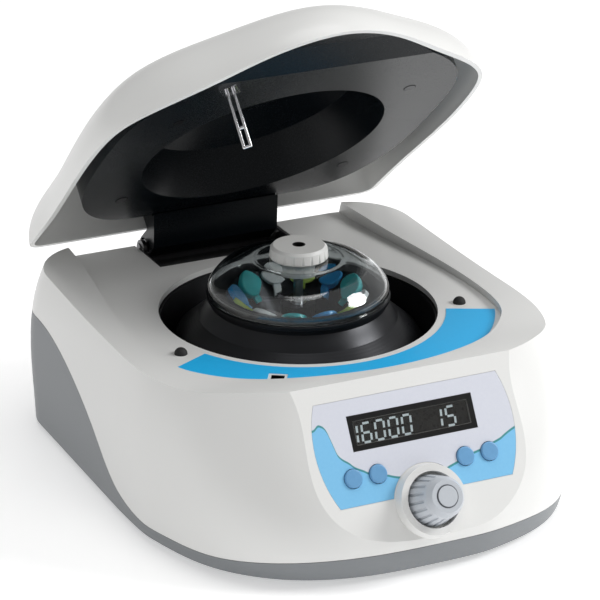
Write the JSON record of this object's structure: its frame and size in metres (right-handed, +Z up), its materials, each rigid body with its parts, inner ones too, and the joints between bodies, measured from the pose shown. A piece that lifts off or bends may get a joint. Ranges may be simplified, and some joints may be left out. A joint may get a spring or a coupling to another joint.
{
  "type": "microcentrifuge",
  "caption": "Bench-top microcentrifuge with a raised domed lid, an angle rotor under a clear cover, a sloped front panel with display, buttons and knob, and a two-tone rounded housing.",
  "frame": {"origin": "on the bench under the middle of the machine's overall box, lid open", "axes": "+Z up, the front panel faces -Y, +X to the right seen from the front"},
  "size_m": [0.2324, 0.2949, 0.2556],
  "materials": {
    "housing_white": "smooth moulded plastic, warm light grey",
    "base_grey": "fine textured moulded plastic, mid grey",
    "black_plastic": "textured black plastic",
    "rubber_black": "matt rubber",
    "bowl_black": "satin black coating on turned metal",
    "steel": "plain brushed steel",
    "chrome_bar": "polished chrome",
    "screw_steel": "bright plated screws",
    "motor_metal": "cast and turned",
    "rotor_black": "black anodised",
    "tube_teal": "smooth cap plastic",
    "tube_blue": "smooth cap plastic",
    "tube_green": "smooth cap plastic",
    "tube_natural": "milky cap plastic",
    "clear_lid": "clear moulded plastic",
    "knob_white": "satin white plastic",
    "label_blue": "printed sheet, sky blue",
    "overlay_print": "printed sheet, pale grey with light blue",
    "window_clear": "clear window",
    "display_dark": "dark display",
    "board_green": "circuit board",
    "button_blue": "smooth button plastic",
    "knob_grey": "satin grey plastic",
    "part_black": "component plastic"
  },
  "bodies": {
    "base": {"upper_housing": "housing_white", "base_pan": "base_grey", "rubber_feet": "rubber_black", "housing_screws": "screw_steel", "rotor_bowl": "bowl_black", "bowl_gasket": "rubber_black", "guard_ring": "steel", "motor_plate": "steel", "motor_dampers": "rubber_black", "plate_screws": "screw_steel", "motor_can": "motor_metal", "motor_screws": "screw_steel", "deck_label": "label_blue", "deck_bumpers": "rubber_black", "panel_overlay": "overlay_print", "display_window": "window_clear", "display_module": "display_dark", "control_board": "board_green", "board_screws": "screw_steel", "button_switches": "part_black", "encoder_body": "part_black", "latch_frame": "black_plastic", "latch_solenoid": "part_black", "hinge_pin": "steel", "hinge_bracket": "steel", "hinge_trough": "black_plastic", "torsion_springs": "steel", "mains_inlet": "part_black", "switch_frame": "part_black", "drive_board": "board_green", "board_parts": "part_black"},
    "lid": {"lid_shell": "housing_white", "lid_liner": "black_plastic", "liner_screws": "screw_steel", "lid_striker": "chrome_bar", "hinge_block": "black_plastic"},
    "rotor": {"motor_shaft": "steel", "rotor_body": "rotor_black", "tubes_teal": "tube_teal", "tubes_blue": "tube_blue", "tubes_green": "tube_green", "tubes_natural": "tube_natural", "rotor_lid": "clear_lid"},
    "clamp_knob": {"rotor_knob": "knob_white"},
    "control_knob": {"encoder_shaft": "steel", "front_knob": "knob_grey", "knob_cap": "knob_white"},
    "rocker": {"power_rocker": "part_black"},
    "bolt": {"latch_bolt": "steel"},
    "button_left_outer": {"button_left_outer": "button_blue"},
    "button_left_inner": {"button_left_inner": "button_blue"},
    "button_right_inner": {"button_right_inner": "button_blue"},
    "button_right_outer": {"button_right_outer": "button_blue"}
  },
  "joints": [
    {"name": "lid_hinge", "type": "hinge", "parent": "base", "child": "lid", "pos_m": [0, 0.13695, 0.083], "axis": [1, 0, 0], "range_deg": [0, 42]},
    {"name": "rotor_spin", "type": "hinge", "parent": "base", "child": "rotor", "pos_m": [0, 0.02195, 0.084], "axis": [0, 0, 1], "continuous": true},
    {"name": "clamp_knob_turn", "type": "hinge", "parent": "rotor", "child": "clamp_knob", "pos_m": [0, 0.02195, 0.114], "axis": [0, 0, 1], "continuous": true},
    {"name": "control_knob_turn", "type": "hinge", "parent": "base", "child": "control_knob", "pos_m": [0, -0.1255, 0.03779], "axis": [0, -0.866, 0.5], "continuous": true},
    {"name": "rocker_tilt", "type": "hinge", "parent": "base", "child": "rocker", "pos_m": [-0.014, 0.13885, 0.036], "axis": [1, 0, 0], "range_deg": [-10, 0]},
    {"name": "latch_slide", "type": "slide", "parent": "base", "child": "bolt", "axis": [0.5299, 0.848, 0], "range_m": [0, 0.004]},
    {"name": "button_left_outer_press", "type": "slide", "parent": "base", "child": "button_left_outer", "axis": [0, 0.866, -0.5], "range_m": [0, 0.0008], "stiffness_N_per_m": 900, "springref_m": -0.0006},
    {"name": "button_left_inner_press", "type": "slide", "parent": "base", "child": "button_left_inner", "axis": [0, 0.866, -0.5], "range_m": [0, 0.0008], "stiffness_N_per_m": 900, "springref_m": -0.0006},
    {"name": "button_right_inner_press", "type": "slide", "parent": "base", "child": "button_right_inner", "axis": [0, 0.866, -0.5], "range_m": [0, 0.0008], "stiffness_N_per_m": 900, "springref_m": -0.0006},
    {"name": "button_right_outer_press", "type": "slide", "parent": "base", "child": "button_right_outer", "axis": [0, 0.866, -0.5], "range_m": [0, 0.0008], "stiffness_N_per_m": 900, "springref_m": -0.0006}
  ]
}
